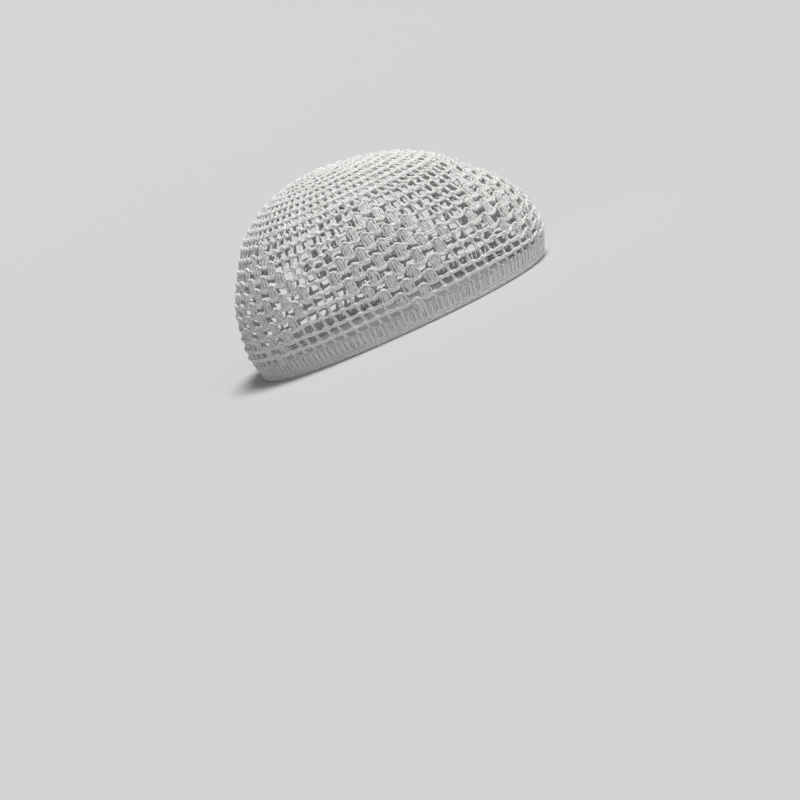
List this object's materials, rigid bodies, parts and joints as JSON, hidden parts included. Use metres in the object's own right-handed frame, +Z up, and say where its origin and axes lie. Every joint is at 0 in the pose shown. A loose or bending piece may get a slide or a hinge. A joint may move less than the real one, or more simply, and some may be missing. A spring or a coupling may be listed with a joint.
{
  "type": "crocheted skullcap",
  "caption": "Close-fitting kufi cap: an oval dome of openwork crochet with diamonds of puff stitches, closed by a dense rim band and a cord edging.",
  "frame": {"origin": "middle of the cap's plan, at the plane that its rim rests on", "axes": "+Z up to the crown, -Y to the wearer's front, +Y to the back, +X to the wearer's left"},
  "size_m": [0.1542, 0.1952, 0.1014],
  "materials": {
    "net_yarn": "matte white cotton yarn, crocheted as openwork",
    "band_yarn": "matte white cotton yarn, crocheted densely",
    "edging_yarn": "matte white cotton yarn, worked as a cord"
  },
  "bodies": {
    "root": {"crown_net": "net_yarn", "side_net": "net_yarn", "rim_band": "band_yarn", "rim_edging": "edging_yarn"}
  },
  "joints": []
}
